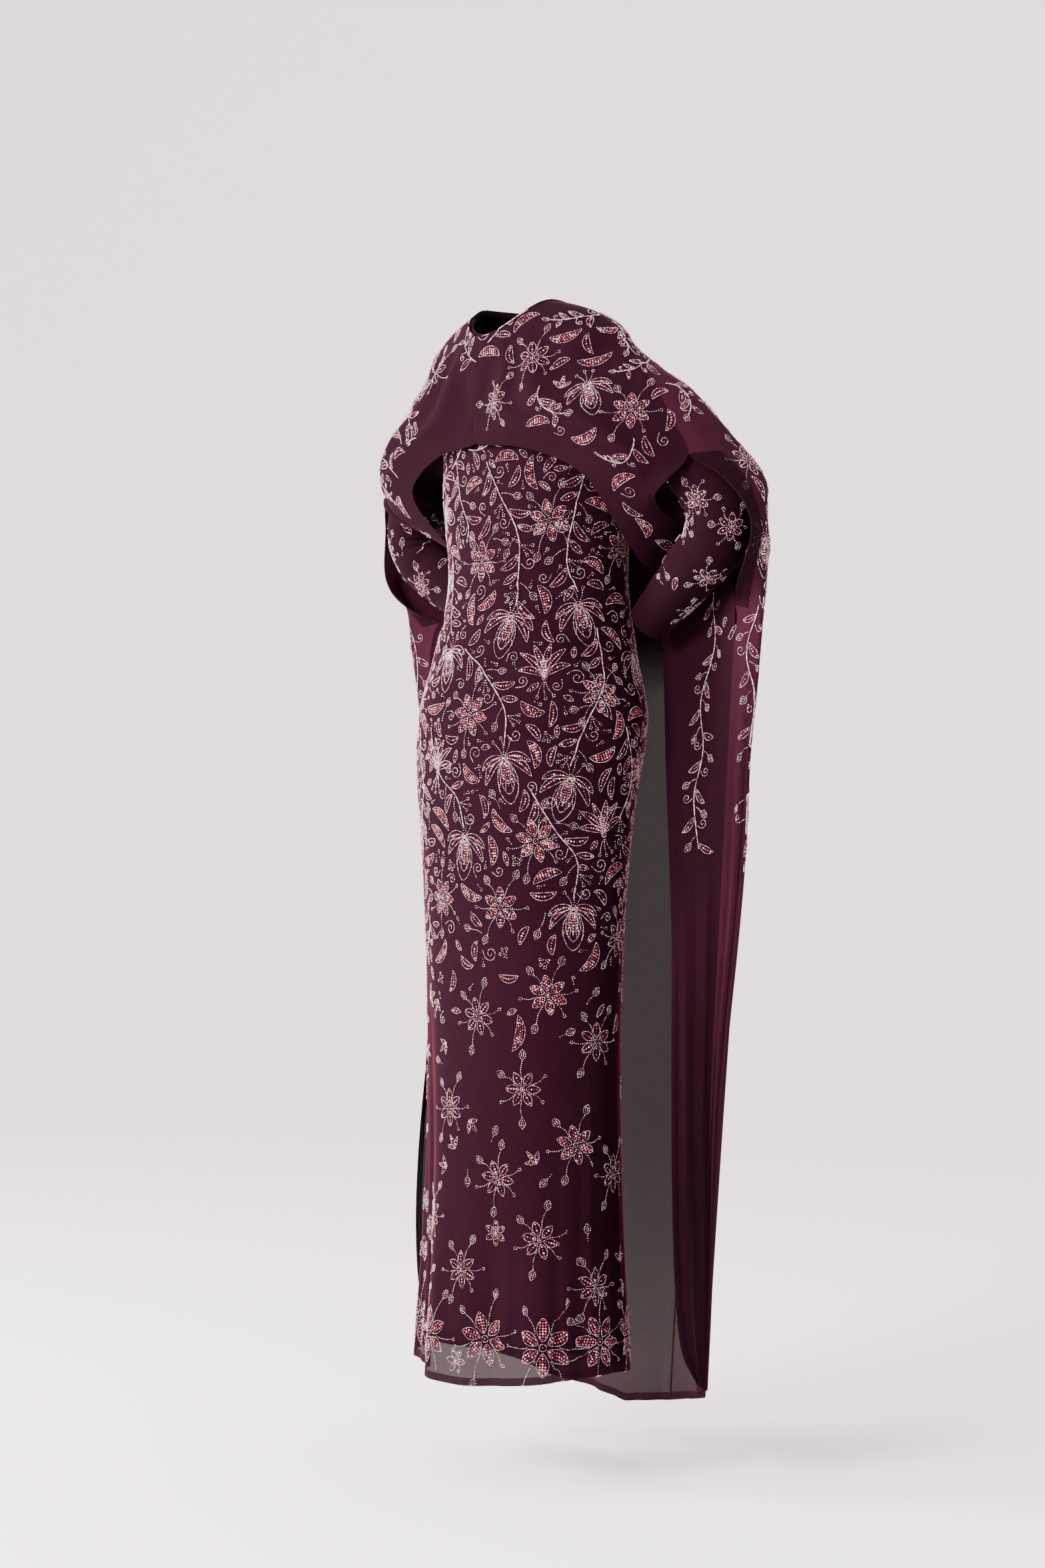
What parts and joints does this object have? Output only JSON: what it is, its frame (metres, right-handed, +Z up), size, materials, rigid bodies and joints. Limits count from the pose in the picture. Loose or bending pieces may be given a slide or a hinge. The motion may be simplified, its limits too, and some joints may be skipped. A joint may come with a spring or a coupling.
{
  "type": "sequin maxi dress with attached cape",
  "caption": "Floor-length plum chiffon dress with long sleeves and a sheer cape sewn into its neckline, beaded and sequinned with flowers, scrolls and rays.",
  "frame": {"origin": "Centre of the neck opening at the height of the side neck point, where the wearer's neck and shoulders hold the dress up.", "axes": "+Z up, the wearer's front towards -Y, the wearer's left towards +X."},
  "size_m": [0.7416, 0.3044, 1.4525],
  "materials": {
    "plum_chiffon": "sheer matt chiffon, beaded and sequinned",
    "plum_lining": "soft satin lining",
    "plum_binding": "doubled plain chiffon binding"
  },
  "bodies": {
    "root": {"dress_front": "plum_chiffon", "dress_back": "plum_chiffon", "lining": "plum_lining", "sleeve_left": "plum_chiffon", "sleeve_right": "plum_chiffon", "neck_binding": "plum_binding", "cape_front": "plum_chiffon", "cape_back": "plum_chiffon", "slit_facing_back_left": "plum_binding", "slit_facing_back_right": "plum_binding", "slit_facing_front_left": "plum_binding", "slit_facing_front_right": "plum_binding"}
  },
  "joints": []
}
